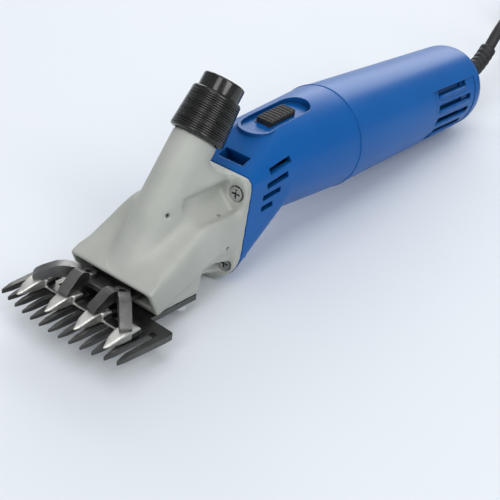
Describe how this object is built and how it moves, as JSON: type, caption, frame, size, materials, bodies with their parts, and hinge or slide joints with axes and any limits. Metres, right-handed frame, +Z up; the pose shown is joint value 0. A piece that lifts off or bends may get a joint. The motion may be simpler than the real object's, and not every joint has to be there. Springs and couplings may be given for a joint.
{
  "type": "sheep shears",
  "caption": "Electric sheep shearing machine: motor handle, cast head with tension nut, toothed comb and oscillating cutter, with mains lead.",
  "frame": {"origin": "on the floor under the middle of the machine, lead not counted", "axes": "+X along the handle towards the comb, +Y to the left of the tool, +Z up"},
  "size_m": [0.6271, 0.1145, 0.1074],
  "materials": {
    "cast_grey": "satin die-cast aluminium, lightly blasted",
    "blue_plastic": "fine-grained glass-filled nylon",
    "black_plastic": "black moulded plastic",
    "black_knurl": "black knurled hard plastic",
    "gloss_cap": "polished black",
    "comb_steel": "hardened ground steel",
    "cutter_steel": "ground steel",
    "dark_steel": "hardened satin steel",
    "bright_steel": "plated",
    "inner_steel": "turned steel",
    "copper": "enamelled copper",
    "brass": "drawn brass",
    "carbon": "carbon",
    "rubber": "black rubber"
  },
  "bodies": {
    "machine": {"head_casting": "cast_grey", "front_housing": "blue_plastic", "rear_housing": "blue_plastic", "flange_screws": "bright_steel", "comb": "comb_steel", "comb_screws": "bright_steel", "centre_post": "inner_steel", "crank_bearings": "inner_steel", "bearing_plate": "cast_grey", "motor_bearings": "inner_steel", "stator_core": "inner_steel", "field_coils": "copper", "brush_holders": "brass", "carbon_brushes": "carbon", "switch_body": "black_plastic", "cord_sleeve": "rubber", "cord": "rubber", "cord_coil": "rubber", "cord_tail": "rubber", "coil_tie": "black_plastic", "plug_body": "rubber", "plug_pins": "bright_steel"},
    "armature": {"motor_shaft": "inner_steel", "armature_core": "inner_steel", "armature_winding": "copper", "commutator": "copper", "cooling_fan": "black_plastic", "pinion": "inner_steel"},
    "crank": {"crank_gear": "inner_steel", "crank_shaft": "inner_steel", "crank_roller": "inner_steel"},
    "lever": {"oscillating_lever": "dark_steel", "left_claw": "dark_steel", "right_claw": "dark_steel", "pressure_cup": "inner_steel", "cutter": "cutter_steel"},
    "spindle": {"tension_spindle": "inner_steel"},
    "tension_pin": {"tension_pin": "inner_steel"},
    "nut": {"tension_nut": "black_knurl", "nut_cap": "gloss_cap"},
    "slider": {"switch_slider": "black_plastic"}
  },
  "joints": [
    {"name": "armature_turn", "type": "hinge", "parent": "machine", "child": "armature", "pos_m": [-0.01816, 0, 0.04081], "axis": [0.9952, 0, 0.0976], "range_deg": [-306, 306]},
    {"name": "crank_turn", "type": "hinge", "parent": "machine", "child": "crank", "pos_m": [0.09047, 0, 0.02935], "axis": [0.9952, 0, 0.0976], "range_deg": [-90.5, 90.5]},
    {"name": "lever_swing", "type": "hinge", "parent": "machine", "child": "lever", "pos_m": [0.11735, 0, 0.01139], "axis": [-0.0976, 0, 0.9952], "range_deg": [-8.93, 8.93]},
    {"name": "spindle_lift", "type": "slide", "parent": "machine", "child": "spindle", "axis": [-0.6374, 0, 0.7705], "range_m": [0, 0.003]},
    {"name": "pin_rock", "type": "hinge", "parent": "spindle", "child": "tension_pin", "pos_m": [0.11115, 0, 0.05135], "axis": [0.7705, 0, 0.6374], "range_deg": [-4.39, 4.39]},
    {"name": "nut_turn", "type": "hinge", "parent": "spindle", "child": "nut", "pos_m": [0.08852, 0, 0.0787], "axis": [-0.6374, 0, 0.7705], "range_deg": [0, 722]},
    {"name": "switch_slide", "type": "slide", "parent": "machine", "child": "slider", "axis": [0.9999, 0, 0.0102], "range_m": [0, 0.008]}
  ],
  "couplings": [
    {"joint": "crank_turn", "follows": "armature_turn", "ratio": -0.29412},
    {"joint": "lever_swing", "follows": "armature_turn", "ratio": -0.028844},
    {"joint": "pin_rock", "follows": "armature_turn", "ratio": -0.01401},
    {"joint": "nut_turn", "follows": "spindle_lift", "rad_per_m": 4188.8}
  ]
}
